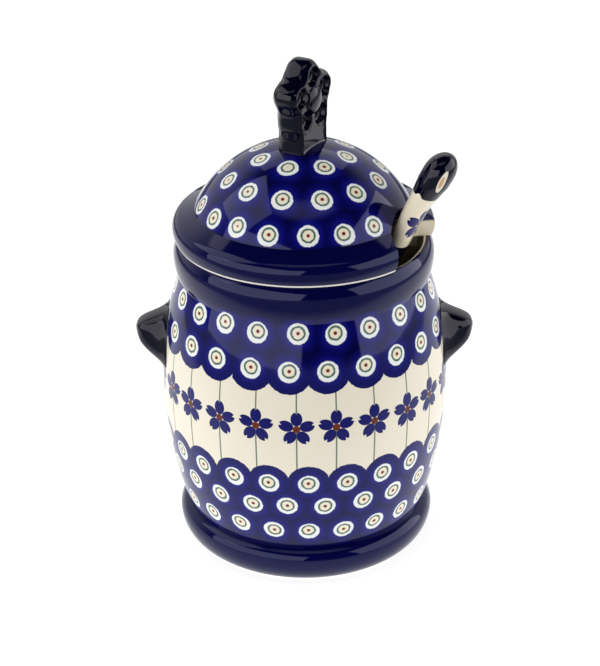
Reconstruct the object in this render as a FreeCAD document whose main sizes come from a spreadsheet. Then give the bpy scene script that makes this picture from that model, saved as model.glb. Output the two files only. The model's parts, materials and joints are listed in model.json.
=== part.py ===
import FreeCAD, Part
import math
import os
import Sketcher

Vector = FreeCAD.Vector
doc = FreeCAD.newDocument("honey_pot")
sizes = doc.addObject("Spreadsheet::Sheet", "sizes")

# Lengths in millimetres, angles in degrees.
size_table = [
    # jar: the belly and the rim drive it, the rest is set in or up from them
    ("belly_radius", 59.6),
    ("belly_height", 74.0),
    ("rim_height", 136.0),
    ("wall_thickness", 5.2),
    ("foot_waist", 9.2),
    ("foot_band_swell", 3.6),
    ("foot_band_middle", 11.5),
    ("foot_band_height", 16.8),
    ("foot_tuck", 8.0),
    ("foot_ring_width", 6.0),
    ("foot_recess", 2.0),
    ("neck_waist", 7.8),
    ("neck_drop", 15.5),
    ("collar_swell", 1.7),
    ("collar_drop", 6.0),
    ("collar_lip", 2.3),
    ("rim_width", 2.4),
    ("mouth_rounding", 1.0),
    ("mouth_depth", 18.0),
    ("floor_height", 8.0),
    ("floor_corner_radius", 10.0),
    ("floor_inset", 4.4),
    # lid
    ("flange_clearance", 1.2),
    ("flange_depth", 9.0),
    ("flange_thickness", 4.6),
    ("lid_edge_overhang", 0.8),
    ("brim_swell", 1.6),
    ("brim_middle", 5.6),
    ("brim_shoulder_inset", 3.0),
    ("brim_shoulder_height", 10.6),
    ("brim_width", 9.1),
    ("dome_foot_height", 13.2),
    ("dome_top_height", 40.3),
    ("lid_wall", 5.0),
    ("lid_spring_inset", 2.9),
    ("lid_spring_drop", 3.2),
    ("lid_turn_angle", 22.0),
    ("notch_cutter_radius", 36.0),
    ("notch_depth", 13.5),
    ("notch_relief", 8.5),
    # knob
    ("knob_turn_angle", 8.0),
    ("knob_thickness", 10.0),
    ("knob_centre_rise", 19.4),
    ("knob_valley_radius", 11.7),
    ("knob_stem_width", 20.8),
    ("knob_valley_rounding", 5.0),
    ("knob_edge_rounding", 1.6),
    ("boss_spread", 8.8),
    ("boss_rise", 1.5),
    ("petal_inner", 6.6),
    ("petal_outer", 13.8),
    ("petal_width", 5.0),
    ("petal_depth", 1.3),
    # lugs
    ("lug_projection", 10.2),
    ("lug_rooting", 9.6),
    ("lug_tip_drop", 40.5),
    ("lug_root_drop", 44.0),
    ("lug_root_half_height", 17.0),
    ("lug_root_half_width", 20.0),
    # spoon
    ("spoon_lean_angle", 23.3),
    ("spoon_length", 190.0),
    ("spoon_rim_gap", 5.7),
    ("spoon_floor_gap", 0.5),
    ("handle_width", 12.0),
    ("handle_thickness", 6.6),
    ("neck_width", 10.4),
    ("neck_thickness", 6.4),
    ("end_width", 17.0),
    ("end_thickness", 13.0),
    ("end_bend", 1.5),
    ("bowl_width", 21.6),
    ("bowl_depth", 8.0),
    ("bowl_length", 50.0),
    ("bowl_rim_offset", 6.6),
    ("bowl_wall", 3.0),
    # cuts run past the faces by this much
    ("overrun", 5.0),
]
derived_table = [
    ("neck_radius", "belly_radius - neck_waist"),
    ("neck_height", "rim_height - neck_drop"),
    ("collar_radius", "neck_radius + collar_swell"),
    ("collar_height", "rim_height - collar_drop"),
    ("rim_seat_radius", "collar_radius - collar_lip"),
    ("mouth_radius", "rim_seat_radius - rim_width"),
    ("foot_crease_radius", "belly_radius - foot_waist"),
    ("foot_band_radius", "foot_crease_radius + foot_band_swell"),
    ("foot_radius", "foot_band_radius - foot_tuck"),
    ("floor_corner_reach", "foot_crease_radius - floor_inset"),
    ("lid_edge_radius", "rim_seat_radius + lid_edge_overhang"),
    ("brim_radius", "lid_edge_radius + brim_swell"),
    ("brim_shoulder_radius", "brim_radius - brim_shoulder_inset"),
    ("dome_foot_radius", "brim_radius - brim_width"),
    ("lid_spring_radius", "dome_foot_radius - lid_spring_inset"),
    ("lid_spring_height", "dome_foot_height - lid_spring_drop"),
    ("notch_cutter_reach", "brim_radius + notch_cutter_radius - notch_depth"),
    ("lug_tip_reach", "belly_radius + lug_projection"),
    ("lug_root_reach", "belly_radius - lug_rooting"),
    ("lug_tip_height", "rim_height - lug_tip_drop"),
    ("lug_root_height", "rim_height - lug_root_drop"),
]
written_table = [(alias, "=" + formula) for alias, formula in derived_table]
for row, (alias, amount) in enumerate(size_table + written_table, start=1):
    sizes.set("A%d" % row, alias)
    sizes.set("B%d" % row, str(amount))
    sizes.setAlias("B%d" % row, alias)
doc.recompute()


def amount_of(expression):
    return float(sizes.evalExpression(expression))


def origin_plane(body, role):
    return [item for item in body.Origin.OriginFeatures if item.Role == role][0]


def new_body(label):
    body = doc.addObject("PartDesign::Body", label)
    body.Label = label
    return body


def new_sketch(body, role, label):
    sketch = body.newObject("Sketcher::SketchObject", label)
    sketch.AttachmentSupport = (origin_plane(body, role), "")
    sketch.MapMode = "FlatFace"
    return sketch


def fix_point(sketch, edge, end, across, up):
    for kind, axis, expression in (("DistanceX", -2, across), ("DistanceY", -1, up)):
        if expression == "0":
            sketch.addConstraint(Sketcher.Constraint("PointOnObject", edge, end, axis))
            continue
        number = sketch.addConstraint(Sketcher.Constraint(kind, edge, end, amount_of(expression)))
        sketch.setExpression("Constraints[%d]" % number, expression)


# A closed outline. Each corner gives its place and the run to the next corner: a straight line,
# or an arc that turns left or right about a centre whose height (or distance out) is known.
def draw_outline(sketch, corners):
    ends = []
    count = len(corners)
    spots = [Vector(amount_of(corner[0]), amount_of(corner[1]), 0) for corner in corners]
    for index, corner in enumerate(corners):
        start = spots[index]
        finish = spots[(index + 1) % count]
        run = corner[2]
        if run == "line":
            edge = sketch.addGeometry(Part.LineSegment(start, finish), False)
            ends.append((edge, 1, 2))
            continue
        turn, known, expression = run
        level = amount_of(expression)
        if known == "height":
            gap = (level - start.y) ** 2 - (level - finish.y) ** 2
            across = (start.x ** 2 - finish.x ** 2 + gap) / (2 * (start.x - finish.x))
            centre = Vector(across, level, 0)
        else:
            gap = (level - start.x) ** 2 - (level - finish.x) ** 2
            rise = (start.y ** 2 - finish.y ** 2 + gap) / (2 * (start.y - finish.y))
            centre = Vector(level, rise, 0)
        first = start if turn == "left" else finish
        last = finish if turn == "left" else start
        begin = math.atan2(first.y - centre.y, first.x - centre.x)
        stop = math.atan2(last.y - centre.y, last.x - centre.x)
        while stop <= begin:
            stop += 2 * math.pi
        circle = Part.Circle(centre, Vector(0, 0, 1), (start - centre).Length)
        edge = sketch.addGeometry(Part.ArcOfCircle(circle, begin, stop), False)
        ends.append((edge, 1, 2) if turn == "left" else (edge, 2, 1))
    for index in range(count):
        edge, start_end, finish_end = ends[index]
        following = ends[(index + 1) % count]
        joined = Sketcher.Constraint("Coincident", edge, finish_end, following[0], following[1])
        sketch.addConstraint(joined)
    for index, corner in enumerate(corners):
        edge, start_end, finish_end = ends[index]
        fix_point(sketch, edge, start_end, corner[0], corner[1])
        if corner[2] == "line":
            continue
        turn, known, expression = corner[2]
        kind, axis = ("DistanceY", -1) if known == "height" else ("DistanceX", -2)
        if expression == "0":
            sketch.addConstraint(Sketcher.Constraint("PointOnObject", edge, 3, axis))
            continue
        number = sketch.addConstraint(Sketcher.Constraint(kind, edge, 3, amount_of(expression)))
        sketch.setExpression("Constraints[%d]" % number, expression)


def draw_circle(sketch, across, up, radius):
    circle = Part.Circle(Vector(amount_of(across), amount_of(up), 0), Vector(0, 0, 1), amount_of(radius))
    edge = sketch.addGeometry(circle, False)
    fix_point(sketch, edge, 3, across, up)
    number = sketch.addConstraint(Sketcher.Constraint("Radius", edge, amount_of(radius)))
    sketch.setExpression("Constraints[%d]" % number, radius)


def revolve(body, sketch, label):
    solid = body.newObject("PartDesign::Revolution", label)
    solid.Profile = sketch
    solid.ReferenceAxis = (sketch, ["V_Axis"])
    solid.Angle = 360
    sketch.Visibility = False
    doc.recompute()
    return solid


def must_cut(body, before, label):
    doc.recompute()
    if body.Shape.Volume >= before:
        raise RuntimeError(label + " removed nothing")


# Jar: one thrown wall, traced round from the middle of its underside.
belly = "sizes.belly_height"
jar = new_body("jar_body")
jar_outline = new_sketch(jar, "XZ_Plane", "jar_outline")
foot_inner = "sizes.foot_radius - sizes.foot_ring_width"
inner_belly = "sizes.belly_radius - sizes.wall_thickness"
corner_top = "sizes.floor_height + sizes.floor_corner_radius"
draw_outline(jar_outline, [
    ("0", "sizes.foot_recess", "line"),
    (foot_inner, "sizes.foot_recess", "line"),
    (foot_inner, "0", "line"),
    ("sizes.foot_radius", "0", ("left", "height", "sizes.foot_band_middle")),
    ("sizes.foot_band_radius", "sizes.foot_band_middle", ("left", "height", "sizes.foot_band_middle")),
    ("sizes.foot_crease_radius", "sizes.foot_band_height", ("left", "height", belly)),
    ("sizes.belly_radius", belly, ("left", "height", belly)),
    ("sizes.neck_radius", "sizes.neck_height", ("left", "height", "sizes.collar_height")),
    ("sizes.collar_radius", "sizes.collar_height", ("left", "height", "sizes.collar_height")),
    ("sizes.rim_seat_radius", "sizes.rim_height", "line"),
    ("sizes.mouth_radius + sizes.mouth_rounding", "sizes.rim_height",
     ("left", "height", "sizes.rim_height - sizes.mouth_rounding")),
    ("sizes.mouth_radius", "sizes.rim_height - sizes.mouth_rounding", "line"),
    ("sizes.mouth_radius", "sizes.rim_height - sizes.mouth_depth", ("right", "height", belly)),
    (inner_belly, belly, ("right", "height", belly)),
    ("sizes.floor_corner_reach", corner_top, ("right", "height", corner_top)),
    ("sizes.floor_corner_reach - sizes.floor_corner_radius", "sizes.floor_height", "line"),
    ("0", "sizes.floor_height", "line"),
])
revolve(jar, jar_outline, "jar_wall")

# Lid: dome, brim and locating flange turned in one piece.
seat = "sizes.rim_height"
flange_outer = "sizes.mouth_radius - sizes.flange_clearance"
flange_inner = flange_outer + " - sizes.flange_thickness"
lid = new_body("lid_shell")
lid_outline = new_sketch(lid, "XZ_Plane", "lid_outline")
spring_height = seat + " + sizes.lid_spring_height"
dome_top = seat + " + sizes.dome_top_height"
brim_middle = seat + " + sizes.brim_middle"
draw_outline(lid_outline, [
    ("0", dome_top + " - sizes.lid_wall", ("right", "reach", "0")),
    ("sizes.lid_spring_radius", spring_height, "line"),
    (flange_inner, seat + " - sizes.flange_depth", "line"),
    (flange_outer, seat + " - sizes.flange_depth", "line"),
    (flange_outer, seat, "line"),
    ("sizes.lid_edge_radius", seat, ("left", "height", brim_middle)),
    ("sizes.brim_radius", brim_middle, ("left", "height", brim_middle)),
    ("sizes.brim_shoulder_radius", seat + " + sizes.brim_shoulder_height", "line"),
    ("sizes.dome_foot_radius", seat + " + sizes.dome_foot_height", ("left", "reach", "0")),
    ("0", dome_top, "line"),
])
revolve(lid, lid_outline, "lid_wall_turned")

# Spoon notch: a round bite out of the brim, and a wider one out of the flange below it.
notch_outline = new_sketch(lid, "XY_Plane", "notch_outline")
draw_circle(notch_outline, "sizes.notch_cutter_reach", "0", "sizes.notch_cutter_radius")
whole_lid = lid.Shape.Volume
notch = lid.newObject("PartDesign::Pocket", "spoon_notch")
notch.Profile = notch_outline
notch.Type = 0
notch.Reversed = True
notch.setExpression("Length", dome_top + " + sizes.overrun")
must_cut(lid, whole_lid, "spoon notch")
relief_outline = new_sketch(lid, "XY_Plane", "relief_outline")
relief_radius = "sizes.notch_cutter_radius + sizes.notch_relief"
draw_circle(relief_outline, "sizes.notch_cutter_reach", "0", relief_radius)
notched_lid = lid.Shape.Volume
relief = lid.newObject("PartDesign::Pocket", "flange_relief")
relief.Profile = relief_outline
relief.Type = 0
relief.Reversed = True
relief.setExpression("Length", seat)
must_cut(lid, notched_lid, "flange relief")
lid.setExpression("Placement.Rotation.Yaw", "-sizes.lid_turn_angle")

# Knob: a five-petalled flower on a stem, pressed with the same relief on both faces.
knob = new_body("knob_pressing")
flower_height = dome_top + " + sizes.knob_centre_rise"
valley = "sizes.knob_valley_radius"
half_stem = "sizes.knob_stem_width / 2"
knob_outline = new_sketch(knob, "YZ_Plane", "knob_outline")
stem_foot = dome_top + " - sizes.lid_wall"


def valley_spot(degrees):
    across = "%s * cos(%d deg)" % (valley, degrees)
    up = "%s + %s * sin(%d deg)" % (flower_height, valley, degrees)
    return (across, up)


def lobe_level(degrees):
    return "%s + %s * cos(36 deg) * sin(%d deg)" % (flower_height, valley, degrees)


draw_outline(knob_outline, [
    ("-" + half_stem, stem_foot, "line"),
    (half_stem, stem_foot, "line"),
    valley_spot(-18) + (("left", "height", lobe_level(18)),),
    valley_spot(54) + (("left", "height", lobe_level(90)),),
    valley_spot(126) + (("left", "height", lobe_level(162)),),
    valley_spot(198) + ("line",),
])
slab = knob.newObject("PartDesign::Pad", "knob_slab")
slab.Profile = knob_outline
slab.SideType = "Symmetric"
slab.setExpression("Length", "sizes.knob_thickness")
doc.recompute()


def edge_names(shape, wanted):
    return ["Edge%d" % index for index, edge in enumerate(shape.Edges, start=1) if wanted(edge.BoundBox)]


half_slab = amount_of("sizes.knob_thickness / 2")
clear_of_foot = amount_of(stem_foot) + half_slab / 2
valleys = knob.newObject("PartDesign::Fillet", "knob_valleys")
valley_edges = edge_names(slab.Shape, lambda box: box.XLength > half_slab and box.ZMin > clear_of_foot)
valleys.Base = (slab, valley_edges)
valleys.setExpression("Radius", "sizes.knob_valley_rounding")
doc.recompute()
rounded = knob.newObject("PartDesign::Fillet", "knob_edges")
face_edges = edge_names(valleys.Shape, lambda box: box.XLength < half_slab and box.ZMax > clear_of_foot)
rounded.Base = (valleys, face_edges)
rounded.setExpression("Radius", "sizes.knob_edge_rounding")
doc.recompute()

# One leaf-shaped petal hollow, five times round, on each face.
for face, sign, half_turn in (("front", "", 0), ("back", "-", 180)):
    petal = new_sketch(knob, "YZ_Plane", "petal_" + face)
    petal.setExpression("AttachmentOffset.Base.y", flower_height)
    petal.setExpression("AttachmentOffset.Base.z", sign + "sizes.knob_thickness / 2")
    petal_middle = "(sizes.petal_inner + sizes.petal_outer) / 2"
    draw_outline(petal, [
        ("0", "sizes.petal_inner", ("left", "height", petal_middle)),
        ("sizes.petal_width / 2", petal_middle, ("left", "height", petal_middle)),
        ("0", "sizes.petal_outer", ("left", "height", petal_middle)),
        ("-sizes.petal_width / 2", petal_middle, ("left", "height", petal_middle)),
    ])
    before = knob.Shape.Volume
    hollow = knob.newObject("PartDesign::Pocket", "hollow_" + face)
    hollow.Profile = petal
    hollow.Type = 0
    hollow.Reversed = half_turn > 0
    hollow.setExpression("Length", "sizes.petal_depth")
    must_cut(knob, before, "petal hollow")
    ring = knob.newObject("PartDesign::PolarPattern", "petals_" + face)
    ring.Originals = [hollow]
    ring.Axis = (petal, ["N_Axis"])
    ring.Angle = 360
    ring.Occurrences = 5
    knob.Tip = ring
    doc.recompute()

# Domed button in the middle of the flower, proud of both faces.
button = knob.newObject("PartDesign::AdditiveEllipsoid", "flower_button")
button.AttachmentSupport = (origin_plane(knob, "XY_Plane"), "")
button.MapMode = "FlatFace"
button.setExpression("AttachmentOffset.Base.z", flower_height)
button.setExpression("Radius1", "sizes.boss_spread")
button.setExpression("Radius2", "sizes.knob_thickness / 2 + sizes.boss_rise")
button.setExpression("Radius3", "sizes.boss_spread")
knob.Tip = button
knob.setExpression("Placement.Rotation.Yaw", "-sizes.lid_turn_angle - sizes.knob_turn_angle")
doc.recompute()

# The stem is scraped to the curve of the dome where it is luted on.
dome_rise = "sizes.dome_top_height - sizes.dome_foot_height"
dome_radius = "(sizes.dome_foot_radius ^ 2 + (%s) ^ 2) / (2 * (%s))" % (dome_rise, dome_rise)
dome_form = doc.addObject("Part::Sphere", "dome_form")
dome_form.setExpression("Radius", dome_radius)
dome_form.setExpression("Placement.Base.z", "%s - (%s)" % (dome_top, dome_radius))
lid_knob = doc.addObject("Part::Cut", "lid_knob")
lid_knob.Label = "lid_knob"
lid_knob.Base = knob
lid_knob.Tool = dome_form
doc.recompute()

# Lugs: solid ears, broad at the wall and drawn out to a blunt tip, fitted to the wall.
# Shares run from the root (0) to the tip (1).
lug_reach_share = [0.0, 0.42, 0.7, 0.88, 0.97, 1.0]
lug_height_share = [1.0, 0.83, 0.62, 0.42, 0.24, 0.09]
lug_width_share = [1.0, 0.86, 0.69, 0.5, 0.3, 0.11]
wall_form = new_body("wall_form")
wall_outline = new_sketch(wall_form, "XZ_Plane", "wall_outline")
draw_outline(wall_outline, [
    ("0", "sizes.foot_band_height", "line"),
    ("sizes.foot_crease_radius", "sizes.foot_band_height", ("left", "height", belly)),
    ("sizes.belly_radius", belly, ("left", "height", belly)),
    ("sizes.neck_radius", "sizes.neck_height", "line"),
    ("0", "sizes.neck_height", "line"),
])
revolve(wall_form, wall_outline, "wall_form_turned")
lugs = []
for side, sign, facing in (("left", "-", -90), ("right", "", 90)):
    rings = []
    for step, share in enumerate(lug_reach_share):
        ring = doc.addObject("Part::Ellipse", "%s_lug_ring_%d" % (side, step))
        ring.setExpression("MajorRadius", "sizes.lug_root_half_width * %s" % lug_width_share[step])
        ring.setExpression("MinorRadius", "sizes.lug_root_half_height * %s" % lug_height_share[step])
        reach = "(sizes.lug_root_reach + (sizes.lug_tip_reach - sizes.lug_root_reach) * %s)" % share
        rise = "sizes.lug_root_height + (sizes.lug_tip_height - sizes.lug_root_height) * %s" % share
        ring.Placement.Rotation = FreeCAD.Rotation(facing, 0, 90)
        ring.setExpression("Placement.Base.x", sign + reach)
        ring.setExpression("Placement.Base.z", rise)
        rings.append(ring)
    ear = doc.addObject("Part::Loft", side + "_ear")
    ear.Sections = rings
    ear.Solid = True
    ear.Ruled = False
    doc.recompute()
    lug = doc.addObject("Part::Cut", side + "_lug")
    lug.Label = side + "_lug"
    lug.Base = ear
    lug.Tool = wall_form
    doc.recompute()
    lugs.append(lug)


# Spoon, drawn upright with its tip at the origin and its open face towards +X.
def loft_rings(label, rings):
    sections = []
    for step, (along, width, thickness, forward) in enumerate(rings):
        ring = doc.addObject("Part::Ellipse", "%s_ring_%d" % (label, step))
        ring.Placement.Rotation = FreeCAD.Rotation(90, 0, 0)
        ring.setExpression("MajorRadius", "(%s) / 2" % width)
        ring.setExpression("MinorRadius", "(%s) / 2" % thickness)
        ring.setExpression("Placement.Base.z", along)
        if forward != "0":
            ring.setExpression("Placement.Base.x", forward)
        sections.append(ring)
    solid = doc.addObject("Part::Loft", label)
    solid.Sections = sections
    solid.Solid = True
    solid.Ruled = False
    return solid


# Handle stations: share of the length, the way from neck to full width, and the rounding of the end.
handle_share = [0.2, 0.3, 0.44, 0.56, 0.66, 0.74, 0.8, 0.86, 0.92, 0.965, 0.99, 1.0]
growth_share = [0.0, 0.12, 0.6, 0.95, 1.0, 1.0, 1.0, 1.0, 1.0, 1.0, 1.0, 1.0]
swell_share = [0.0, 0.0, 0.0, 0.0, 0.0, 0.0, 0.12, 0.6, 1.0, 1.0, 1.0, 1.0]
closing_share = [1.0, 1.0, 1.0, 1.0, 1.0, 1.0, 1.0, 1.0, 1.0, 0.86, 0.54, 0.2]
handle_rings = []
for share, growth, swell, closing in zip(handle_share, growth_share, swell_share, closing_share):
    spans = []
    for span in ("width", "thickness"):
        grown = "sizes.neck_%s + (sizes.handle_%s - sizes.neck_%s) * %s" % (span, span, span, growth)
        swollen = "(sizes.end_%s - sizes.handle_%s) * %s" % (span, span, swell)
        spans.append("(%s + %s) * %s" % (grown, swollen, closing))
    bend = "sizes.end_bend * %s" % swell if swell else "0"
    handle_rings.append(("sizes.spoon_length * %s" % share, spans[0], spans[1], bend))
handle = loft_rings("spoon_handle", handle_rings)

# Bowl: half an egg, open to the front, with an even wall.
bowl_share = [0.01, 0.06, 0.16, 0.3, 0.46, 0.62, 0.78, 0.91, 0.99]
shells = []
for label, inset in (("bowl_outer", "0"), ("bowl_inner", "sizes.bowl_wall")):
    rings = []
    for share in bowl_share:
        fullness = "sqrt(1 - (2 * %s - 1) ^ 2)" % share
        along = "%s + (sizes.bowl_length - 2 * %s) * %s" % (inset, inset, share)
        width = "(sizes.bowl_width - 2 * %s) * %s" % (inset, fullness)
        depth = "2 * (sizes.bowl_depth - %s) * %s" % (inset, fullness)
        rings.append((along, width, depth, "sizes.bowl_rim_offset"))
    shells.append(loft_rings(label, rings))
bowl_outer, bowl_inner = shells
bowl_open = doc.addObject("Part::Box", "bowl_open_side")
bowl_open.setExpression("Length", "sizes.bowl_depth + sizes.overrun")
bowl_open.setExpression("Width", "sizes.bowl_width + 2 * sizes.overrun")
bowl_open.setExpression("Height", "sizes.bowl_length + 2 * sizes.overrun")
bowl_open.setExpression("Placement.Base.x", "sizes.bowl_rim_offset")
bowl_open.setExpression("Placement.Base.y", "-sizes.bowl_width / 2 - sizes.overrun")
bowl_open.setExpression("Placement.Base.z", "-sizes.overrun")
bowl_half = doc.addObject("Part::Cut", "bowl_half")
bowl_half.Base = bowl_outer
bowl_half.Tool = bowl_open
blank = doc.addObject("Part::MultiFuse", "spoon_blank")
blank.Shapes = [handle, bowl_half]
spoon = doc.addObject("Part::Cut", "spoon")
spoon.Label = "spoon"
spoon.Base = blank
spoon.Tool = bowl_inner
doc.recompute()

# The handle leans out through the notch, clear of the mouth, and the tip hangs just above the floor.
lean = "sizes.spoon_lean_angle * 1 deg"
turn = "sizes.lid_turn_angle * 1 deg"
mouth_edge = "sizes.rim_height - sizes.mouth_rounding"
tip_height = "(sizes.floor_height + sizes.spoon_floor_gap + sizes.bowl_rim_offset * sin(%s))" % lean
axis_reach = "(sizes.mouth_radius - sizes.spoon_rim_gap - sizes.handle_thickness / 2 / cos(%s))" % lean
tip_reach = "(%s - (%s - %s) * tan(%s))" % (axis_reach, mouth_edge, tip_height, lean)
spoon.setExpression("Placement.Rotation.Pitch", "sizes.spoon_lean_angle")
spoon.setExpression("Placement.Rotation.Yaw", "-sizes.lid_turn_angle")
spoon.setExpression("Placement.Base.x", "%s * cos(%s)" % (tip_reach, turn))
spoon.setExpression("Placement.Base.y", "-%s * sin(%s)" % (tip_reach, turn))
spoon.setExpression("Placement.Base.z", tip_height)
doc.recompute()

parts = [jar, lugs[0], lugs[1], lid, lid_knob, spoon]
for item in doc.Objects:
    bad = [word for word in item.State if word in ("Invalid", "Error")]
    if bad:
        raise RuntimeError("%s: %s" % (item.Name, bad))
os.makedirs("parts", exist_ok=True)
for item in parts:
    if item.Shape.isNull() or not item.Shape.isValid():
        raise RuntimeError(item.Label + " has no sound shape")
    item.Shape.exportStep("parts/%s.step" % item.Label)
    print(item.Label, round(item.Shape.Volume), item.Shape.BoundBox, len(item.Shape.Solids))
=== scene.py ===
import json
import math
import bpy
from mathutils import Matrix, Vector


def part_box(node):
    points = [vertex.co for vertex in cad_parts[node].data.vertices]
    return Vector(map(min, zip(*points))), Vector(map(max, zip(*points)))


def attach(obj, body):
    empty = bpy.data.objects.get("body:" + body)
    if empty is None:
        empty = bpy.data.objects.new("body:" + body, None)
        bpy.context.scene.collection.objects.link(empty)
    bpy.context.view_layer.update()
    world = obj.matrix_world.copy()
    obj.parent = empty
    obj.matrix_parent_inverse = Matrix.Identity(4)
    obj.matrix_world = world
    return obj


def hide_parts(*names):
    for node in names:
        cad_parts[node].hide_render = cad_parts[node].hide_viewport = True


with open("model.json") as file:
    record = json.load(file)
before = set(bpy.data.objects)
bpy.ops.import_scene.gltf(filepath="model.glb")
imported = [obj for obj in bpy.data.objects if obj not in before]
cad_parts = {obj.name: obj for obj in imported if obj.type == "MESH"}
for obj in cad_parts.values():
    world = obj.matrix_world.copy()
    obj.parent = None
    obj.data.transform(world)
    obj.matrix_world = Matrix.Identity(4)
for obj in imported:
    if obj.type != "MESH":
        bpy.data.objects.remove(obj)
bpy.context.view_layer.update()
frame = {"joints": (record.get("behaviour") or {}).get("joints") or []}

jarTop = Vector(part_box("jar_body")[1])
lidTop = Vector(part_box("lid_shell")[1])
bellyRadius = jarTop.x
rimHeight = jarTop.z
domeTop = lidTop.z
joints = {joint["name"]: joint for joint in frame["joints"]}
spoonAxis = Vector(joints["spoon_draw"]["axis"]).normalized()
spoonHeading = math.atan2(spoonAxis.y, spoonAxis.x)      # the notch and the spoon share this bearing
degree = math.pi / 180
tiny = 1e-6
hair = 1e-9


# shader helpers
def tint(code):                                          # web colour to linear light
    shares = [int(code[start:start + 2], 16) / 255 for start in (1, 3, 5)]
    return [share / 12.92 if share < 0.04045 else ((share + 0.055) / 1.055) ** 2.4 for share in shares] + [1]


def grey(value):
    return (value, value, value, 1)


class Wire:                                              # one output socket that can be reckoned with
    tree = None

    def __init__(self, socket):
        self.socket = socket

    @classmethod
    def node(cls, kind, settings, inputs, output=0):
        made = cls.tree.nodes.new(kind)
        for name, value in settings.items():
            setattr(made, name, value)
        for name, value in inputs.items():
            if isinstance(value, Wire):
                cls.tree.links.new(value.socket, made.inputs[name])
            else:
                made.inputs[name].default_value = value
        return cls(made.outputs[output])

    def math(self, operation, *others):
        return Wire.node("ShaderNodeMath", {"operation": operation}, dict(enumerate((self,) + others)))

    def __add__(self, other):
        return self.math("ADD", other)

    def __mul__(self, other):
        return self.math("MULTIPLY", other)

    def __sub__(self, other):
        return self.math("SUBTRACT", other)

    def __truediv__(self, other):
        return self.math("DIVIDE", other)

    def __rsub__(self, other):
        return Wire.node("ShaderNodeMath", {"operation": "SUBTRACT"}, {0: other, 1: self})

    def __rtruediv__(self, other):
        return Wire.node("ShaderNodeMath", {"operation": "DIVIDE"}, {0: other, 1: self})

    def __neg__(self):
        return self * -1

    __radd__ = __add__
    __rmul__ = __mul__

    def ramp(self, start, stop):                         # 0 at start, 1 at stop, smooth between
        settings = {"interpolation_type": "SMOOTHSTEP"}
        return Wire.node("ShaderNodeMapRange", settings, {"Value": self, "From Min": start, "From Max": stop})


def mix(factor, first, second):
    return Wire.node("ShaderNodeMix", {"data_type": "RGBA"}, {0: factor, 6: first, 7: second}, 2)


def length(*legs):
    total = legs[0] * legs[0]
    for leg in legs[1:]:
        total = total + leg * leg
    return total.math("SQRT")


def smallest(distances):
    least = distances[0]
    for distance in distances[1:]:
        least = least.math("MINIMUM", distance)
    return least


def within(distance, limit, edge):
    return distance.ramp(limit + edge, limit - edge)


def objectPoint():
    return Wire.node("ShaderNodeTexCoord", {}, {}, "Object")


def part(where, letter):
    return Wire.node("ShaderNodeSeparateXYZ", {}, {"Vector": where}, letter)


def along(where, direction, start):                      # distance along a direction from a start point
    shifted = Wire.node("ShaderNodeVectorMath", {"operation": "SUBTRACT"}, {0: where, 1: start})
    ends = {0: shifted, 1: direction}
    return Wire.node("ShaderNodeVectorMath", {"operation": "DOT_PRODUCT"}, ends, "Value")


def noise(where, size, detail):
    return Wire.node("ShaderNodeTexNoise", {}, {"Vector": where, "Scale": 1 / size, "Detail": detail})


def scatter(seed):                                       # an even number from -0.5 to 0.5 for each seed
    return Wire.node("ShaderNodeTexWhiteNoise", {"noise_dimensions": "1D"}, {"W": seed}) - 0.5


def newMaterial(name):
    material = bpy.data.materials.new(name)
    material.use_nodes = True
    Wire.tree = material.node_tree
    return material


glazeLook = {
    "roughness": 0.06, "bareRoughness": 0.55, "specular": 0.34, "ripple": 0.012, "rippleHeight": 0.00005,
    "sheen": (0.66, 0.68, 1, 1), "greySheen": (0.94, 0.92, 1, 1),
}


def glaze(material, colour, roughness=glazeLook["roughness"], sheen=glazeLook["sheen"]):
    shader = material.node_tree.nodes["Principled BSDF"]
    ripple = noise(objectPoint(), glazeLook["ripple"], 1)
    relief = {"Height": ripple, "Distance": glazeLook["rippleHeight"], "Strength": 1}
    bump = Wire.node("ShaderNodeBump", {}, relief)
    for name, value in (("Base Color", colour), ("Normal", bump)):
        if isinstance(value, Wire):
            Wire.tree.links.new(value.socket, shader.inputs[name])
        else:
            shader.inputs[name].default_value = value
    shader.inputs["Roughness"].default_value = roughness
    shader.inputs["Specular IOR Level"].default_value = glazeLook["specular"]
    shader.inputs["Specular Tint"].default_value = sheen
    return material


class Spot:                                              # where a shaded point lies on a turned pot
    def __init__(self):
        self.where = objectPoint()
        self.x = part(self.where, "X")
        self.y = part(self.where, "Y")
        self.z = part(self.where, "Z")
        self.radius = length(self.x, self.y)
        self.bearing = self.x.math("ARCTAN2", -self.y)   # 0 at the front, growing towards +X


# painted pattern
colours = {
    "gap": tint("#05053e"),
    "cobalt": tint("#08095a"),
    "dab": tint("#101270"),
    "plain": tint("#03053a"),
    "deep": tint("#010216"),
    "cream": tint("#ede6d3"),
    "disc": tint("#f0f3f0"),
    "ring": tint("#4a6a58"),
    "iris": tint("#f0e7d0"),
    "pupil": tint("#7c2413"),
    "petal": tint("#151662"),
    "heart": tint("#6a3018"),
    "stem": tint("#66785f"),
    "inside": tint("#f0e4c8"),
    "mark": tint("#d3a878"),
    "bare": tint("#f4efe4"),
    "spoon": tint("#fbf0d6"),
}
eye = {
    "disc": 0.0043, "ringOuter": 0.0030, "ringInner": 0.0022, "pupil": 0.00075, "edge": 0.0002,
    "drift": 0.0007, "lift": 0.0003, "wobble": 0.0006, "wobbleSize": 0.0012,
    "seedStep": 31.7, "seedStart": 3.3, "liftSeed": 0.5, "driftSeeds": (0.25, 0.75),
}
field = {"cloud": 0.006, "stray": 0.003, "dab": (0.0052, 0.0066), "gap": (0.0068, 0.0092)}
flower = {
    "petals": 5, "middle": 0.0045, "stretch": 1.30, "half": 0.00238, "slope": 1.9, "notch": 0.0064,
    "heart": 0.00155, "stem": 0.0003, "edge": 0.0001, "seed": 211.3,
}


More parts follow.
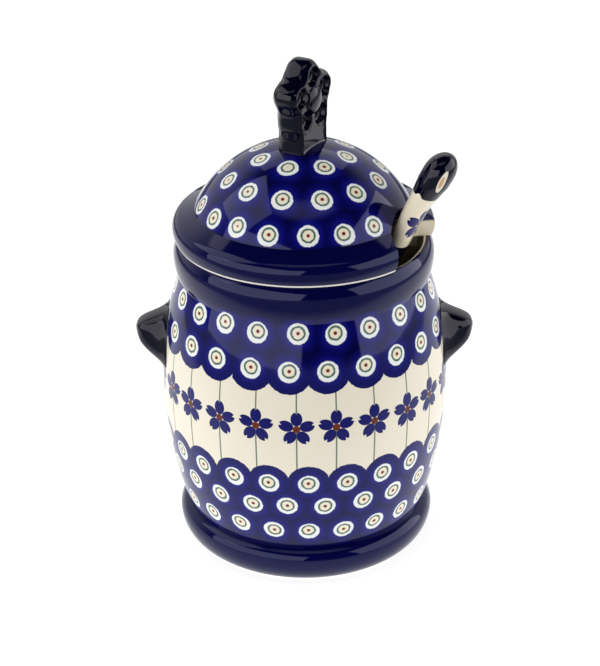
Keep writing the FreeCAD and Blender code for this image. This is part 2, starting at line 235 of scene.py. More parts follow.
def pullOnto(rows, outline):                             # each row is moved to the nearest point of the wall
    for row in rows:
        stamped = (row["radius"], row["height"])
        row["radius"], row["height"] = min(outline, key=lambda point: math.dist(point, stamped))


def rowSeed(number):
    return eye["seedStep"] * number + eye["seedStart"]


def eyeRow(spot, row, seed):                             # offsets from the nearest stamp of a row
    step = math.tau / row["count"]
    turn = (spot.bearing - row["first"]) / step
    cell = turn.math("ROUND")
    sway = scatter(cell + seed) * row["stray"]
    lift = scatter(cell + seed + eye["liftSeed"]) * row["stray"]
    across = (turn - cell) * step * row["radius"] - sway
    up = spot.z - row["height"] - lift
    out = spot.radius - row["radius"]
    return across, up, out, cell


def nearestEye(spot, rows):                              # how far the nearest disc and pupil are
    discs = []
    pupils = []
    for number, row in enumerate(rows):
        seed = rowSeed(number)
        across, up, out, cell = eyeRow(spot, row, seed)
        if "skipFrom" in row:                            # no eye is stamped where the notch is cut
            bearing = cell * (math.tau / row["count"]) + row["first"]
            beyond = bearing.math("GREATER_THAN", row["skipFrom"])
            out = out + beyond * bearing.math("LESS_THAN", row["skipTo"])
        sway, lift = [scatter(cell + seed + more) * eye["drift"] for more in eye["driftSeeds"]]
        discs.append(length(across, up, out))
        pupils.append(length(across - sway, up - eye["lift"] - lift, out))
    return smallest(discs), smallest(pupils)


def handWobble(spot):                                    # a little unevenness in the painted edges
    return (noise(spot.where, eye["wobbleSize"], 1) - 0.5) * eye["wobble"]


def paintEyes(under, nearest, pupil, wobble):
    edge = eye["edge"]
    far = nearest + wobble
    ring = pupil + wobble                                # ring and pupil are one stamp, a little off the disc
    colour = mix(within(far, eye["disc"], edge), under, colours["disc"])
    colour = mix(within(ring, eye["ringOuter"], edge), colour, colours["ring"])
    colour = mix(within(ring, eye["ringInner"], edge), colour, colours["iris"])
    return mix(within(pupil, eye["pupil"], edge), colour, colours["pupil"])


def cobaltField(spot, nearest, inner=1):                 # dabs round each eye, darker where they meet
    cloud = noise(spot.where, field["cloud"], 3) - 0.5
    edge = nearest + cloud * field["stray"]
    blue = mix(edge.ramp(*field["dab"]), colours["dab"], colours["cobalt"])
    return mix(edge.ramp(*field["gap"]) * inner, blue, colours["gap"])


def flowerPaint(across, up, under):                      # notched petals round a brown heart
    far = length(across, up)
    fold = math.tau / flower["petals"]
    turn = across.math("ARCTAN2", up) / fold
    swing = (turn - turn.math("ROUND")) * fold
    reach = far * swing.math("COSINE")
    side = far * swing.math("SINE")
    body = length((reach - flower["middle"]) / flower["stretch"], side)
    notch = reach - side.math("ABSOLUTE") * flower["slope"]
    petal = within(body, flower["half"], flower["edge"]) * within(notch, flower["notch"], flower["edge"])
    colour = mix(petal, under, colours["petal"])
    return mix(within(far, flower["heart"], flower["edge"]), colour, colours["heart"])


# shape helpers
def arcRun(start, end, steps, height=None):
    (x0, z0), (x1, z1) = start, end
    if height is None:                                   # without a height, the centre is on the pot's axis
        centreX = 0
        centreZ = (z0 ** 2 - z1 ** 2 + x0 ** 2 - x1 ** 2) / (2 * (z0 - z1))
    else:
        centreX = (x0 ** 2 - x1 ** 2 + (height - z0) ** 2 - (height - z1) ** 2) / (2 * (x0 - x1))
        centreZ = height
    radius = math.hypot(x0 - centreX, z0 - centreZ)
    begin = math.atan2(z0 - centreZ, x0 - centreX)
    sweep = math.atan2(z1 - centreZ, x1 - centreX) - begin
    sweep = (sweep + math.pi) % math.tau - math.pi
    turns = [begin + sweep * step / steps for step in range(steps + 1)]
    return [(centreX + radius * math.cos(turn), centreZ + radius * math.sin(turn)) for turn in turns]


def lineRun(start, end, steps=4):
    return [tuple(a + (b - a) * step / steps for a, b in zip(start, end)) for step in range(steps + 1)]


def between(table, value):                               # straight steps between the rows of a table
    for (a0, b0), (a1, b1) in zip(table, table[1:]):
        if a0 <= value <= a1:
            return b0 + (b1 - b0) * (value - a0) / (a1 - a0)
    return table[-1][1]


def easing(value, start, stop):
    share = min(1, max(0, (value - start) / (stop - start)))
    return share * share * (3 - 2 * share)


weldGap = 0.000002


def newObject(name, points, faces, materials, picks=None, sharp=35):
    mesh = bpy.data.meshes.new(name)
    mesh.from_pydata([tuple(point) for point in points], [], faces)
    for material in materials:
        mesh.materials.append(material)
    mesh.polygons.foreach_set("use_smooth", [True] * len(faces))
    if picks:
        mesh.polygons.foreach_set("material_index", picks)
    made = bpy.data.objects.new(name, mesh)
    bpy.context.scene.collection.objects.link(made)
    weld = made.modifiers.new("weld", "WELD")
    weld.merge_threshold = weldGap
    mesh.set_sharp_from_angle(angle=math.radians(sharp))
    return made


def gridFaces(rows, columns, wrapRows=False, wrapColumns=False):
    faces = []
    for row in range(rows if wrapRows else rows - 1):
        for column in range(columns if wrapColumns else columns - 1):
            below = ((row + 1) % rows) * columns
            beside = (column + 1) % columns
            faces.append((row * columns + column, below + column, below + beside, row * columns + beside))
    return faces


def flipped(faces):
    return [tuple(reversed(face)) for face in faces]


def dress(made, body, slot, *nodes):
    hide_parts(*nodes)
    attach(made, body)
    return made


# jar
jar = {
    "bellyHeight": 0.074, "wall": 0.0052, "crease": 0.0504, "creaseHeight": 0.0168,
    "band": 0.054, "bandMiddle": 0.0115, "foot": 0.046, "footInner": 0.040, "recess": 0.002,
    "neck": 0.0518, "neckHeight": 0.1205, "collar": 0.0535, "collarHeight": 0.130,
    "seat": 0.0512, "mouth": 0.0488, "lip": 0.001, "mouthDepth": 0.018,
    "floor": 0.008, "corner": 0.010, "cornerReach": 0.046, "segments": 240,
    "topScallop": 0.0093, "lowScallop": 0.0088, "scallopEdge": 0.00015,
    "topField": (0.1020, 0.1024), "lowField": (0.0524, 0.0520),
    "topInner": (0.1000, 0.1060), "lowInner": (0.0540, 0.0480),
    "footBand": (0.0190, 0.0176), "collarBand": (0.1222, 0.1236), "footLine": 0.0009, "footEdge": 0.0003,
}
jarRows = [
    {"height": 0.1167, "radius": 0.0535, "count": 22, "first": -3.6 * degree, "stray": 0.0012},
    {"height": 0.1024, "radius": 0.0574, "count": 23, "first": -6.6 * degree, "stray": 0.0010},
    {"height": 0.0521, "radius": 0.0583, "count": 23, "first": 0.9 * degree, "stray": 0.0010},
    {"height": 0.0400, "radius": 0.0564, "count": 23, "first": -7.4 * degree, "stray": 0.0012},
    {"height": 0.0266, "radius": 0.0534, "count": 23, "first": 0.7 * degree, "stray": 0.0012},
]
topRow, lowRow = 1, 2                                    # the rows that the scallops follow
flowerRow = {"height": 0.0784, "radius": bellyRadius, "count": 23, "first": -3.8 * degree, "stray": 0.0012}


def jarOutside():
    material = newMaterial("patternedGlazeJar")
    spot = Spot()
    nearest, pupil = nearestEye(spot, jarRows)
    wobble = handWobble(spot)
    top = length(*eyeRow(spot, jarRows[topRow], rowSeed(topRow))[:3]) + wobble
    low = length(*eyeRow(spot, jarRows[lowRow], rowSeed(lowRow))[:3]) + wobble
    topBlue = within(top, jar["topScallop"], jar["scallopEdge"])
    topBlue = topBlue.math("MAXIMUM", spot.z.ramp(*jar["topField"]))
    lowBlue = within(low, jar["lowScallop"], jar["scallopEdge"])
    lowBlue = lowBlue.math("MAXIMUM", spot.z.ramp(*jar["lowField"]))
    blue = topBlue.math("MAXIMUM", lowBlue)
    across, up = eyeRow(spot, flowerRow, flower["seed"])[:2]
    stem = within(across.math("ABSOLUTE"), flower["stem"], flower["edge"])
    ground = flowerPaint(across, up, mix(stem, colours["cream"], colours["stem"]))
    inner = spot.z.ramp(*jar["topInner"])                # scallops stay bright
    inner = inner.math("MAXIMUM", spot.z.ramp(*jar["lowInner"]))
    colour = mix(blue, ground, cobaltField(spot, nearest, inner))
    colour = paintEyes(colour, nearest, pupil, wobble)
    band = spot.z.ramp(*jar["footBand"]).math("MAXIMUM", spot.z.ramp(*jar["collarBand"]))
    colour = mix(band, colour, colours["plain"])
    foot = spot.z.ramp(jar["footLine"], jar["footLine"] - jar["footEdge"])
    return glaze(material, mix(foot, colour, colours["bare"]))


insideGlaze = glaze(newMaterial("clearGlazeInside"), colours["inside"])
bareClay = glaze(newMaterial("bareClay"), colours["bare"], glazeLook["bareRoughness"])
outside, inside, bare = range(3)                         # places in the list of materials
belly = jar["bellyHeight"]
innerBelly = bellyRadius - jar["wall"]
lipFoot = rimHeight - jar["lip"]
mouthFoot = rimHeight - jar["mouthDepth"]
cornerTop = jar["floor"] + jar["corner"]
jarOutline = [                                           # material, next point, arc centre's height, steps
    (bare, (jar["footInner"], jar["recess"]), None, 6),
    (bare, (jar["footInner"], 0), None, 4),
    (bare, (jar["foot"], 0), None, 4),
    (outside, (jar["band"], jar["bandMiddle"]), jar["bandMiddle"], 12),
    (outside, (jar["crease"], jar["creaseHeight"]), jar["bandMiddle"], 10),
    (outside, (bellyRadius, belly), belly, 60),
    (outside, (jar["neck"], jar["neckHeight"]), belly, 60),
    (outside, (jar["collar"], jar["collarHeight"]), jar["collarHeight"], 12),
    (outside, (jar["seat"], rimHeight), jar["collarHeight"], 10),
    (outside, (jar["mouth"] + jar["lip"], rimHeight), None, 4),
    (inside, (jar["mouth"], lipFoot), lipFoot, 5),
    (inside, (jar["mouth"], mouthFoot), None, 4),
    (inside, (innerBelly, belly), belly, 16),
    (inside, (jar["cornerReach"], cornerTop), belly, 16),
    (inside, (jar["cornerReach"] - jar["corner"], jar["floor"]), cornerTop, 8),
    (inside, (0, jar["floor"]), None, 6),
]
jarRuns = []
runStart = (0, jar["recess"])
for pick, runEnd, centre, steps in jarOutline:
    run = lineRun(runStart, runEnd, steps) if centre is None else arcRun(runStart, runEnd, steps, centre)
    jarRuns.append((pick, run))
    runStart = runEnd


def turned(name, runs, materials, segments):
    outline = [runs[0][1][0]]
    picks = []
    for pick, run in runs:
        outline += run[1:]
        picks += [pick] * (len(run) - 1) * segments
    points = []
    for radius, height in outline:
        for step in range(segments):
            turn = math.tau * step / segments
            points.append((radius * math.cos(turn), radius * math.sin(turn), height))
    faces = flipped(gridFaces(len(outline), segments, False, True))
    return newObject(name, points, faces, materials, picks)


pullOnto(jarRows, [point for pick, run in jarRuns if pick == outside for point in run])
jarBody = turned("jarBody", jarRuns, [jarOutside(), insideGlaze, bareClay], jar["segments"])
dress(jarBody, "jar", "patterned_glaze", "jar_body")
print("jar turned")

# lid
lid = {
    "edge": 0.052, "brim": 0.0536, "brimMiddle": 0.0056, "shoulder": 0.0506, "shoulderRise": 0.0106,
    "domeFoot": 0.0445, "domeFootRise": 0.0132, "wall": 0.005, "spring": 0.0416, "springRise": 0.010,
    "flangeOuter": 0.0476, "flangeInner": 0.0430, "flangeDepth": 0.009,
    "flangeSink": 0.001, "flangeLap": 0.0003,
    "cutterRadius": 0.022, "cutterReach": 0.0610, "cutLean": 0.38, "cutLevel": 0.011,
    "cutTurn": -2.5 * degree, "cutMargin": 0.004, "relief": 0.0085,
    "columns": 220, "cutSteps": 90, "capSteps": 44, "brimSteps": 8, "domeSteps": 300, "rollSteps": 120,
    "brimEdge": 0.001, "lineLow": 0.0009, "lineHigh": 0.0015, "lineEdge": 0.0002,
    "cutFar": 0.004, "cutBlue": 0.0072, "cutEdge": 0.0006,
}
lidRows = [
    {"height": 0.1540, "radius": 0.0426, "count": 18, "first": 1.4 * degree, "stray": 0.0012,
     "skipFrom": 52 * degree, "skipTo": 90 * degree},
    {"height": 0.1657, "radius": 0.0328, "count": 13, "first": 12.8 * degree, "stray": 0.0012},
    {"height": 0.1725, "radius": 0.0187, "count": 8, "first": -19 * degree, "stray": 0.0012},
]
shoulder = (lid["shoulder"], rimHeight + lid["shoulderRise"])
domeFoot = (lid["domeFoot"], rimHeight + lid["domeFootRise"])
brim = (lid["brim"], rimHeight + lid["brimMiddle"])
spring = (lid["spring"], rimHeight + lid["springRise"])
springShare = lid["springRise"] / (lid["springRise"] + lid["flangeDepth"])
innerEdge = (lid["spring"] + (lid["flangeInner"] - lid["spring"]) * springShare, rimHeight)
seatEdge = (lid["edge"], rimHeight)


def lidOutside():
    material = newMaterial("patternedGlazeLid")
    spot = Spot()
    nearest, pupil = nearestEye(spot, lidRows)
    wobble = handWobble(spot)
    colour = paintEyes(cobaltField(spot, nearest), nearest, pupil, wobble)
    colour = mix(spot.z.ramp(domeFoot[1] + lid["brimEdge"], domeFoot[1]), colour, colours["plain"])
    wiped = spot.z.ramp(rimHeight + lid["lineHigh"] + lid["lineEdge"], rimHeight + lid["lineHigh"])
    wiped = wiped * spot.z.ramp(rimHeight + lid["lineLow"] - lid["lineEdge"], rimHeight + lid["lineLow"])
    return glaze(material, mix(wiped, colour, colours["bare"]))


def cutGlaze():                                          # pale low on the notch's far side, blue elsewhere
    material = newMaterial("clearGlazeCut")
    where = objectPoint()
    aside = along(where, (-math.sin(spoonHeading), math.cos(spoonHeading), 0), (0, 0, 0))
    height = part(where, "Z") - rimHeight
    far = aside.ramp(-lid["cutFar"], lid["cutFar"]) * within(height, lid["cutBlue"], lid["cutEdge"])
    return glaze(material, mix(far, colours["plain"], colours["spoon"]))


def notchTurn(radius, height, cutter):                   # half the angle that the leaning cutter takes out
    reach = lid["cutterReach"] + lid["cutLean"] * (height - rimHeight - lid["cutLevel"])
    if radius <= reach - cutter:
        return 0
    return math.acos(min(1, (radius ** 2 + reach ** 2 - cutter ** 2) / (2 * radius * reach)))


def heightOn(run, radius):                               # height of a run of points at a radius
    for (r0, z0), (r1, z1) in zip(run, run[1:]):
        if min(r0, r1) - hair <= radius <= max(r0, r1) + hair and r0 != r1:
            return z0 + (z1 - z0) * (radius - r0) / (r1 - r0)
    raise ValueError(radius)


topRun = arcRun((0, domeTop), domeFoot, lid["domeSteps"])
topRun += lineRun(domeFoot, shoulder)[1:]
topRun += arcRun(shoulder, brim, lid["rollSteps"], brim[1])[1:]
underRun = arcRun((0, domeTop - lid["wall"]), spring, lid["domeSteps"])
underRun += lineRun(spring, innerEdge)[1:]
underRun += lineRun(innerEdge, seatEdge)[1:]
underRun += arcRun(seatEdge, brim, lid["rollSteps"], brim[1])[1:]
cutStart = lid["cutterReach"] - lid["cutterRadius"] - lid["cutMargin"]
cutSteps, brimSteps, capSteps = lid["cutSteps"], lid["brimSteps"], lid["capSteps"]
cutRadii = [cutStart + (lid["brim"] - cutStart) * step / cutSteps for step in range(cutSteps)]
bendRadii = [lid["domeFoot"], lid["shoulder"], lid["edge"], innerEdge[0], lid["spring"]]
brimRadii = [lid["brim"] - (lid["brim"] - lid["edge"]) * (step / brimSteps) ** 2 for step in range(brimSteps)]
capRadii = [cutStart * step / capSteps for step in range(capSteps)]
radii = capRadii + sorted(set(cutRadii + bendRadii + brimRadii))
lidOutline = [(radius, heightOn(topRun, radius)) for radius in radii]
lidOutline += [(radius, heightOn(underRun, radius)) for radius in reversed(radii[:-1])]


def lidRing(radius, height, cutter):                     # a ring of points that stops at the notch
    gape = notchTurn(radius, height, cutter)
    ring = []
    for step in range(lid["columns"] + 1):
        turn = gape + (math.tau - 2 * gape) * step / lid["columns"]
        turn += spoonHeading + lid["cutTurn"]
        ring.append((radius * math.cos(turn), radius * math.sin(turn), height))
    return ring


def bothEnds(corners, columns):                          # a face at the first column, its mirror at the last
    return [tuple(corners), tuple(corner + columns - 1 for corner in reversed(corners))]


def lidShellMesh():
    columns = lid["columns"] + 1
    cut = bare                                           # the cut face takes the third material of the lid
    points = []
    for radius, height in lidOutline:
        points += lidRing(radius, height, lid["cutterRadius"])
    faces = gridFaces(len(lidOutline), columns)
    last = len(lidOutline) - 1
    picks = []
    for row in range(last):
        under = row >= len(radii) - 1 and lidOutline[row][0] < lid["edge"] + tiny
        picks += [inside if under else outside] * (columns - 1)
    for row in range(len(capRadii), len(radii) - 1):     # the cut face, one strip on each side of the notch
        near, far = row * columns, (last - row) * columns
        corners = [near, far, far - columns, near + columns]
        if row == len(radii) - 2:                        # both outlines meet at the brim
            corners.pop()
        faces += bothEnds(corners, columns)
        picks += [cut, cut]
    flangeFoot, flangeTop = rimHeight - lid["flangeDepth"], rimHeight + lid["flangeSink"]
    flange = [(lid["flangeInner"], flangeFoot), (lid["flangeOuter"], flangeFoot),
              (lid["flangeOuter"], flangeTop), (innerEdge[0] + lid["flangeLap"], flangeTop)]
    base = len(points)
    for radius, height in flange:
        points += lidRing(radius, height, lid["cutterRadius"] + lid["relief"])
    ring = flipped(gridFaces(len(flange), columns, True))
    ring = [tuple(base + corner for corner in face) for face in ring]
    ring += bothEnds([base + row * columns for row in range(len(flange))], columns)
    return points, faces + ring, picks + [inside] * len(ring)


pullOnto(lidRows, topRun)
lidPoints, lidFaces, lidPicks = lidShellMesh()
lidShell = newObject("lidShell", lidPoints, lidFaces, [lidOutside(), insideGlaze, cutGlaze()], lidPicks)
dress(lidShell, "lid", "patterned_glaze", "lid_shell")
print("lid turned")

# knob
knob = {
    "turn": spoonHeading - 8 * degree, "centre": domeTop + 0.0194, "half": 0.005,
    "mean": 0.01475, "swing": 0.0016, "petals": 5, "stem": 0.0104, "stemFrom": -0.05, "foot": -0.0235,
    "edge": 0.0030, "soft": 12,
    "bead": 0.0008, "beadIn": 0.0027, "beadWide": 0.0009,
    "petalCut": 0.0024, "petalSteep": 1.5, "petalMiddle": 0.0096, "petalLong": 0.0046, "petalWide": 0.0048,
    "boss": 0.0058, "bossRise": 0.0022, "angles": 240, "rings": 36, "ringPower": 1.25, "sharp": 60,
}
cobaltGlaze = glaze(newMaterial("cobaltGlaze"), colours["deep"], sheen=glazeLook["greySheen"])


def knobReach(turn):                                     # outline of the flower and its stem from the middle
    petal = knob["mean"] + knob["swing"] * math.cos(knob["petals"] * (turn - math.pi / 2))
    if math.sin(turn) > knob["stemFrom"]:
        return petal
    side = knob["stem"] / max(abs(math.cos(turn)), tiny)
    foot = knob["foot"] / math.sin(turn)
    return min((petal ** knob["soft"] + side ** knob["soft"]) ** (1 / knob["soft"]), foot)


def knobHeight(across, up, depth):                       # half thickness at a point of the knob's face
    far = math.hypot(across, up)
    fold = math.tau / knob["petals"]
    swing = (math.atan2(across, up) + fold / 2) % fold - fold / 2
    lengthwise = (far * math.cos(swing) - knob["petalMiddle"]) / knob["petalLong"]
    crosswise = far * math.sin(swing) / knob["petalWide"]
    leaf = easing(knob["petalSteep"] * (1 - lengthwise ** 2 - crosswise ** 2), 0, 1)
    boss = max(0, 1 - (far / knob["boss"]) ** 2)
    inset = max(0, knob["edge"] - depth)
    rounding = knob["edge"] - math.sqrt(max(0, knob["edge"] ** 2 - inset ** 2))
    bead = knob["bead"] * math.exp(-((depth - knob["beadIn"]) / knob["beadWide"]) ** 2)
    return knob["half"] - rounding - knob["petalCut"] * leaf + knob["bossRise"] * math.sqrt(boss) + bead


def knobMesh():
    rings, angles = knob["rings"], knob["angles"]
    sheet = []
    for ring in range(1, rings + 1):
        share = 1 - (1 - ring / rings) ** knob["ringPower"]
        for step in range(angles):
            turn = math.tau * step / angles
            reach = knobReach(turn)
            across, up = share * reach * math.cos(turn), share * reach * math.sin(turn)
            sheet.append((across, up, knobHeight(across, up, (1 - share) * reach)))
    count = len(sheet)
    sheet.append((0, 0, knobHeight(0, 0, 1)))
    points = sheet + [(across, up, -height) for across, up, height in sheet]
    front = gridFaces(rings, angles, False, True)
    front += [(count, step, (step + 1) % angles) for step in range(angles)]
    faces = front + [tuple(corner + count + 1 for corner in face) for face in flipped(front)]
    edge = (rings - 1) * angles
    back = edge + count + 1
    for step in range(angles):
        beside = (step + 1) % angles
        faces.append((edge + step, back + step, back + beside, edge + beside))
    spin = Matrix.Rotation(knob["turn"], 3, "Z")
    centre = Vector((0, 0, knob["centre"]))
    return [spin @ Vector((height, across, up)) + centre for across, up, height in points], faces


knobPoints, knobFaces = knobMesh()
lidKnob = newObject("lidKnob", knobPoints, knobFaces, [cobaltGlaze], sharp=knob["sharp"])
dress(lidKnob, "lid", "cobalt_glaze", "lid_knob")
print("knob pressed")

# lugs
lug = {
    "middle": 0.0955, "around": 28, "square": 0.54, "levels": 2, "sharp": 80,
    "stations": [-0.0030, -0.0012, 0.0, 0.0015, 0.0036, 0.0062, 0.0086, 0.0106, 0.0118, 0.0124],
    "top": [(-0.0030, 0.1070), (-0.0012, 0.1048), (0.0, 0.1038), (0.0019, 0.1026), (0.0062, 0.1007),
            (0.0099, 0.0991), (0.0117, 0.0976), (0.0124, 0.0957)],
    "under": [(-0.0030, 0.0772), (-0.0012, 0.0788), (0.0005, 0.0806), (0.0016, 0.0822), (0.0050, 0.0841),
              (0.0077, 0.0862), (0.0105, 0.0892), (0.0117, 0.0925), (0.0124, 0.0950)],
    "topHalf": [(-0.0030, 0.0105), (-0.0012, 0.0090), (0.0, 0.0082), (0.0019, 0.0072), (0.0062, 0.0068),
                (0.0099, 0.0061), (0.0113, 0.0048), (0.0119, 0.0035), (0.0124, 0.0003)],
    "lowHalf": [(-0.0030, 0.0195), (-0.0012, 0.0186), (0.0, 0.0170), (0.0016, 0.0140), (0.0050, 0.0098),
                (0.0077, 0.0078), (0.0105, 0.0056), (0.0117, 0.0035), (0.0124, 0.0003)],
}


def wallReach(height):                                   # how far out the jar wall is above the belly
    rise = jar["neckHeight"] - jar["bellyHeight"]
    waist = bellyRadius - jar["neck"]
    radius = (rise ** 2 + waist ** 2) / (2 * waist)
    return bellyRadius - radius + math.sqrt(radius ** 2 - (height - jar["bellyHeight"]) ** 2)


def squared(value):                                      # pushes a sine or cosine towards its ends
    return math.copysign(abs(value) ** lug["square"], value)


def lugMesh(side):                                       # rounded sections set one beyond the other
    points = []
    base = wallReach(lug["middle"])
    for reach in lug["stations"]:
        top, under = between(lug["top"], reach), between(lug["under"], reach)
        topHalf, lowHalf = between(lug["topHalf"], reach), between(lug["lowHalf"], reach)
        for step in range(lug["around"]):
            turn = math.tau * step / lug["around"]
            rise = (1 + squared(math.sin(turn))) / 2
            across = squared(math.cos(turn)) * (lowHalf + (topHalf - lowHalf) * rise)
            points.append((side * (base + reach), side * across, under + (top - under) * rise))
    rows, columns = len(lug["stations"]), lug["around"]
    faces = flipped(gridFaces(rows, columns, False, True))
    faces += [tuple(reversed(range(columns))), tuple(range((rows - 1) * columns, rows * columns))]
    return points, faces


for lugName, nodeName, side in (("leftLug", "left_lug", -1), ("rightLug", "right_lug", 1)):
    lugPoints, lugFaces = lugMesh(side)
    made = newObject(lugName, lugPoints, lugFaces, [cobaltGlaze], sharp=lug["sharp"])
    soften = made.modifiers.new("soften", "SUBSURF")
    soften.levels = lug["levels"]
    soften.render_levels = lug["levels"]
    dress(made, "jar", "cobalt_glaze", nodeName)
print("lugs set")

# spoon
spoon = {
    "length": 0.1846, "rimGap": 0.0057, "floorGap": 0.0005, "handleThick": 0.0033, "endRound": 0.0088,
    "bowlLong": 0.050, "bowlHalf": 0.0108, "bowlDeep": 0.0080, "bowlRim": 0.0066, "bowlWall": 0.0030,
    "bowlFrom": 0.72, "bowlTo": 1.12, "neckFrom": 0.5, "hollowShare": 0.88, "hollowSide": 0.8,
    "stations": 140, "around": 64, "sharp": 60,
    "halfWidth": [(0.0, 0.0052), (0.3, 0.0053), (0.56, 0.0060), (0.8, 0.0064), (0.87, 0.0070),
                  (0.93, 0.0085), (1.0, 0.0085)],
    "halfThick": [(0.0, 0.0032), (0.6, 0.0033), (0.72, 0.0037), (0.77, 0.0041), (0.83, 0.0045),
                  (0.87, 0.0047), (0.93, 0.0064), (1.0, 0.0064)],
    "bend": [(0.0, 0.0), (0.70, 0.0), (0.80, -0.0002), (0.86, 0.0002), (0.93, 0.0016), (1.0, 0.0027)],
    "flowerReach": 0.1523, "flowerTurn": -0.0016, "flowerMiddle": -0.0002, "flowerWide": 0.0064,
    "flowerThick": 0.0047, "arc": 0.0058, "outward": 1.6, "outwardEdge": 0.1,
    "blueEnd": 0.1657, "darkFoot": 0.1405, "darkFootLow": (0.0600, 0.0604), "blueEdge": 0.0002,
    "blueDip": 0.0016, "dipHalf": 0.001,
    "ovalReach": 0.1758, "ovalForward": 0.0056, "ovalLong": 0.0050, "ovalWide": 0.0011, "ovalEdge": 0.08,
    "ovalSide": 0.001, "markShare": 0.55, "markEdge": 0.12,
}
spoonLean = math.acos(spoonAxis.z)
spoonFace = Vector((math.cos(spoonHeading) * math.cos(spoonLean),
                    math.sin(spoonHeading) * math.cos(spoonLean), -math.sin(spoonLean)))
spoonSide = spoonAxis.cross(spoonFace)
spoonLow = jar["floor"] + spoon["floorGap"] + spoon["bowlRim"] * math.sin(spoonLean)
spoonReach = jar["mouth"] - spoon["rimGap"] - spoon["handleThick"] / math.cos(spoonLean)
spoonReach -= (rimHeight - jar["lip"] - spoonLow) * math.tan(spoonLean)
spoonTip = Vector((spoonReach * math.cos(spoonHeading), spoonReach * math.sin(spoonHeading), spoonLow))


def dome(share):                                         # height of a half circle of radius 1
    return math.sqrt(max(0, 1 - share ** 2))


def spoonMesh():
    points = []
    bowlLong = spoon["bowlLong"]
    for station in range(spoon["stations"] + 1):
        turn = math.pi * station / spoon["stations"]
        reach = spoon["length"] * (1 - math.cos(turn)) / 2
        share = reach / spoon["length"]
        bowl = 1 - easing(reach, bowlLong * spoon["bowlFrom"], bowlLong * spoon["bowlTo"])
        ends = dome(min(1, max(0, reach - spoon["length"] + spoon["endRound"]) / spoon["endRound"]))
        handleHalf = between(spoon["halfWidth"], share) * ends
        handleThick = between(spoon["halfThick"], share) * ends
        middle = 2 * min(reach, bowlLong) / bowlLong - 1
        full = dome(middle)
        inner = dome(middle / spoon["hollowShare"])
        neck = handleHalf * easing(reach, spoon["neckFrom"] * bowlLong, bowlLong)
        half = handleHalf + (max(spoon["bowlHalf"] * full, neck) - handleHalf) * bowl
        for step in range(spoon["around"]):
            angle = math.tau * step / spoon["around"]
            side, lift = math.cos(angle), math.sin(angle)
            back = spoon["bowlRim"] + spoon["bowlDeep"] * full * min(0, lift)
            hollow = dome(side / spoon["hollowSide"]) * (spoon["bowlDeep"] - spoon["bowlWall"]) * inner
            cupped = back if lift <= 0 else spoon["bowlRim"] - hollow
            solid = handleThick * lift + between(spoon["bend"], share)
            forward = solid + (cupped - solid) * bowl
            points.append(spoonTip + spoonAxis * reach + spoonSide * half * side + spoonFace * forward)
    return points, flipped(gridFaces(spoon["stations"] + 1, spoon["around"], False, True))


def spoonGlaze():
    material = newMaterial("spoonGlaze")
    where = objectPoint()
    ways = (spoonAxis, spoonSide, spoonFace)
    reach, across, forward = [along(where, tuple(way), tuple(spoonTip)) for way in ways]
    depth = forward - spoon["flowerMiddle"]
    turn = (across / spoon["flowerWide"]).math("ARCTAN2", depth / spoon["flowerThick"])
    around = turn * spoon["arc"] - spoon["flowerTurn"]   # way round from the middle of the outward face
    outward = within(turn.math("ABSOLUTE"), spoon["outward"], spoon["outwardEdge"])
    stem = within(around.math("ABSOLUTE"), flower["stem"], flower["edge"])
    stem = stem * reach.math("GREATER_THAN", spoon["darkFoot"])
    ground = mix(stem, colours["spoon"], colours["stem"])
    ground = mix(outward, colours["spoon"], flowerPaint(around, reach - spoon["flowerReach"], ground))
    edge = spoon["blueEdge"]
    dip = within(depth.math("ABSOLUTE"), spoon["dipHalf"], spoon["dipHalf"]) * spoon["blueDip"]
    blueEnd = (reach - dip).ramp(spoon["blueEnd"] - edge, spoon["blueEnd"] + edge)
    # the handle is coloured deep navy from just above the bowl up to about the rim
    darkFoot = reach.ramp(spoon["darkFoot"] + edge, spoon["darkFoot"] - edge) * reach.ramp(*spoon["darkFootLow"])
    colour = mix(blueEnd.math("MAXIMUM", darkFoot), ground, colours["deep"])
    oval = length((forward - spoon["ovalForward"]) / spoon["ovalWide"],
                  (reach - spoon["ovalReach"]) / spoon["ovalLong"])
    near = within(across, 0, spoon["ovalSide"])          # the oval sits on the side that shows past the lid
    colour = mix(within(oval, 1, spoon["ovalEdge"]) * near, colour, colours["cream"])
    colour = mix(within(oval, spoon["markShare"], spoon["markEdge"]) * near, colour, colours["mark"])
    return glaze(material, colour, sheen=glazeLook["greySheen"])


spoonPoints, spoonFaces = spoonMesh()
spoonBody = newObject("spoonBody", spoonPoints, spoonFaces, [spoonGlaze()], sharp=spoon["sharp"])
dress(spoonBody, "spoon", "spoon_glaze", "spoon")
print("spoon shaped")

# stage
stage = {
    "floor": 3.0, "pale": 0.42, "glow": 0.80, "poolMiddle": 0.40, "poolRadius": 0.515, "poolBlur": 0.10,
    "lampAim": Vector((0, 0, 0.1)),
}


def stageFloor():                                        # a pool of light on a pale grey table
    material = newMaterial("paleFloor")
    where = objectPoint()
    far = length(part(where, "X"), part(where, "Y") - stage["poolMiddle"])
    dim = far.ramp(stage["poolRadius"], stage["poolRadius"] + stage["poolBlur"])
    glow = mix(dim, grey(1), grey(0))
    shader = material.node_tree.nodes["Principled BSDF"]
    shader.inputs["Base Color"].default_value = grey(stage["pale"])
    Wire.tree.links.new(glow.socket, shader.inputs["Emission Color"])
    shader.inputs["Emission Strength"].default_value = stage["glow"]
    shader.inputs["Roughness"].default_value = 1
    shader.inputs["Specular IOR Level"].default_value = 0
    half = stage["floor"]
    corners = [(-half, -half, 0), (half, -half, 0), (half, half, 0), (-half, half, 0)]
    return newObject("floor", corners, [(0, 1, 2, 3)], [material])


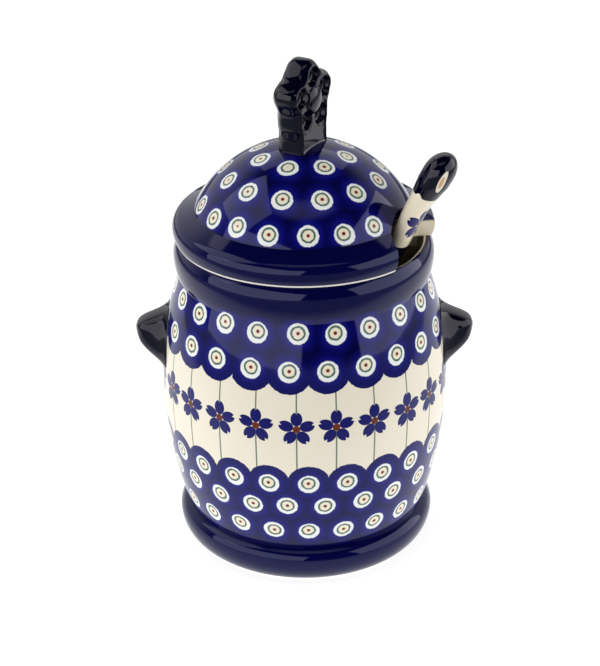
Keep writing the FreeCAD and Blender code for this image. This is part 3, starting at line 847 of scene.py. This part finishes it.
stageFloor()
softBoxes = {
    "leftBox": {"place": (-0.85, -0.86, 0.40), "size": (2.3, 1.0), "power": 15.8},
    "rightBox": {"place": (1.06, -0.17, 0.40), "size": (1.7, 1.0), "power": 12},
    "topBox": {"place": (0.0, 1.1, 1.2), "size": (1.4, 0.7), "power": 3},
    "highBox": {"place": (-0.88, 0.05, 1.0), "size": (1.0, 0.8), "power": 4},
}
for name, box in softBoxes.items():
    lamp = bpy.data.lights.new(name, "AREA")
    lamp.shape = "RECTANGLE"
    lamp.size, lamp.size_y = box["size"]
    lamp.energy = box["power"]
    made = bpy.data.objects.new(name, lamp)
    made.location = box["place"]
    aim = stage["lampAim"] - Vector(box["place"])
    made.rotation_euler = aim.to_track_quat("-Z", "Y").to_euler()
    bpy.context.scene.collection.objects.link(made)

sky = {                                                  # dark in front, pale behind and high in front
    "front": 0.02, "back": 0.8, "overhead": 0.9, "backFrom": (-0.1, 0.5), "backBelow": (0.80, 0.50),
    "overheadFrom": (0.82, 0.90), "overheadFront": (-0.15, -0.30),
}
world = bpy.data.worlds.new("studio")
bpy.context.scene.world = world
world.use_nodes = True
Wire.tree = world.node_tree
heading = Wire.node("ShaderNodeTexCoord", {}, {}, "Generated")
toBack = part(heading, "Y")
toTop = part(heading, "Z")
behind = toBack.ramp(*sky["backFrom"]) * toTop.ramp(*sky["backBelow"])
overhead = toTop.ramp(*sky["overheadFrom"]) * toBack.ramp(*sky["overheadFront"])
skyTint = mix(overhead, mix(behind, grey(sky["front"]), grey(sky["back"])), grey(sky["overhead"]))
Wire.tree.links.new(skyTint.socket, world.node_tree.nodes["Background"].inputs["Color"])

# camera
shot = {
    "aim": Vector((-0.0019, 0, 0.0912)), "tilt": 26.45 * degree, "distance": 0.9, "roll": -0.010,
    "focalPixels": 2152, "tall": 666, "sensor": 36,
}
camera = bpy.data.cameras.new("camera")
camera.sensor_fit = "VERTICAL"
camera.sensor_height = shot["sensor"]
camera.lens = shot["focalPixels"] * shot["sensor"] / shot["tall"]
viewer = bpy.data.objects.new("camera", camera)
away = Vector((0, -math.cos(shot["tilt"]), math.sin(shot["tilt"])))
viewer.location = shot["aim"] + away * shot["distance"]
looking = (-away).to_track_quat("-Z", "Y").to_matrix().to_4x4() @ Matrix.Rotation(shot["roll"], 4, "Z")
viewer.rotation_euler = looking.to_euler()
bpy.context.scene.collection.objects.link(viewer)
bpy.context.scene.camera = viewer
bpy.context.scene.view_settings.view_transform = "Standard"
print("stage and camera set")
